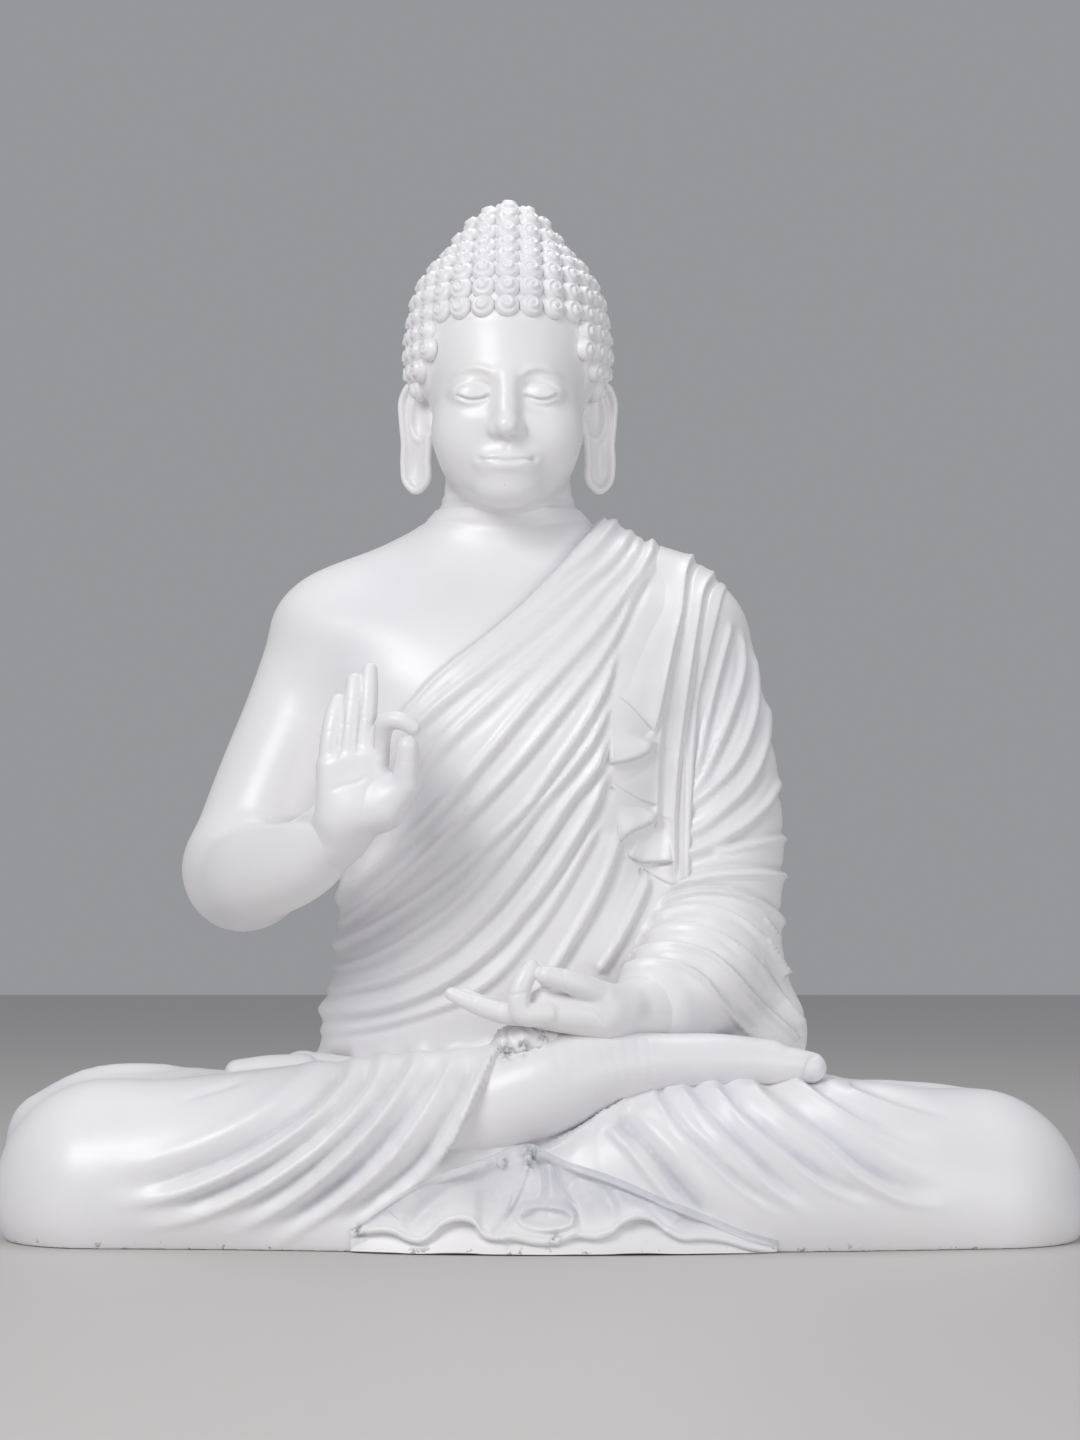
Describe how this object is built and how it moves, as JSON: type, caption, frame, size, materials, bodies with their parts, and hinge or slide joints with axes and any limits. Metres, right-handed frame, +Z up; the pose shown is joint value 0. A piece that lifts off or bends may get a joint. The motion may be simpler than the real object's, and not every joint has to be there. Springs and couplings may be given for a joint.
{
  "type": "seated meditation statue",
  "caption": "White glass-fibre statue of a seated buddha with a raised teaching hand, pleated robe and coiled hair curls, hollow over a steel spine and a plywood base.",
  "frame": {"origin": "centre of the footprint, on the surface that the statue stands on", "axes": "+Z up, -Y the statue's front, +X the statue's left hand side, along its knees"},
  "size_m": [0.9405, 0.49, 0.9196],
  "materials": {
    "white_gelcoat": "polished white gelcoat with faint grey dust in the deep folds",
    "mild_steel": "grey primed mild steel",
    "zinc_plate": "bright zinc plate",
    "plywood": "bare birch plywood",
    "softwood": "bare sawn pine"
  },
  "bodies": {
    "root": {"base_board": "plywood", "cleat_front_left": "softwood", "cleat_front_right": "softwood", "cleat_rear_left": "softwood", "cleat_rear_right": "softwood", "flange_bolt_front_left": "zinc_plate", "flange_bolt_front_right": "zinc_plate", "flange_bolt_rear_left": "zinc_plate", "flange_bolt_rear_right": "zinc_plate", "flange_nut_front_left": "zinc_plate", "flange_nut_front_right": "zinc_plate", "flange_nut_rear_left": "zinc_plate", "flange_nut_rear_right": "zinc_plate", "head_back_shell": "white_gelcoat", "head_front_shell": "white_gelcoat", "hem_fan": "white_gelcoat", "lap_back_shell": "white_gelcoat", "lap_front_shell": "white_gelcoat", "left_ear": "white_gelcoat", "left_hand": "white_gelcoat", "left_toes": "white_gelcoat", "left_wrist_dowel": "zinc_plate", "neck_cap_nut_lower": "zinc_plate", "neck_cap_nut_upper": "zinc_plate", "neck_disc": "plywood", "neck_disc_nut_lower": "zinc_plate", "neck_disc_nut_upper": "zinc_plate", "neck_stud": "zinc_plate", "right_ear": "white_gelcoat", "right_foot": "white_gelcoat", "right_forearm_shell": "white_gelcoat", "right_hand": "white_gelcoat", "right_wrist_dowel": "zinc_plate", "screw_front_left_inner": "zinc_plate", "screw_front_left_outer": "zinc_plate", "screw_front_right_inner": "zinc_plate", "screw_front_right_outer": "zinc_plate", "screw_rear_left_inner": "zinc_plate", "screw_rear_left_outer": "zinc_plate", "screw_rear_right_inner": "zinc_plate", "screw_rear_right_outer": "zinc_plate", "shoulder_bar": "mild_steel", "shoulder_sash": "white_gelcoat", "spine_cap": "mild_steel", "spine_flange": "mild_steel", "spine_tube": "mild_steel", "torso_back_shell": "white_gelcoat", "torso_front_shell": "white_gelcoat"}
  },
  "joints": []
}
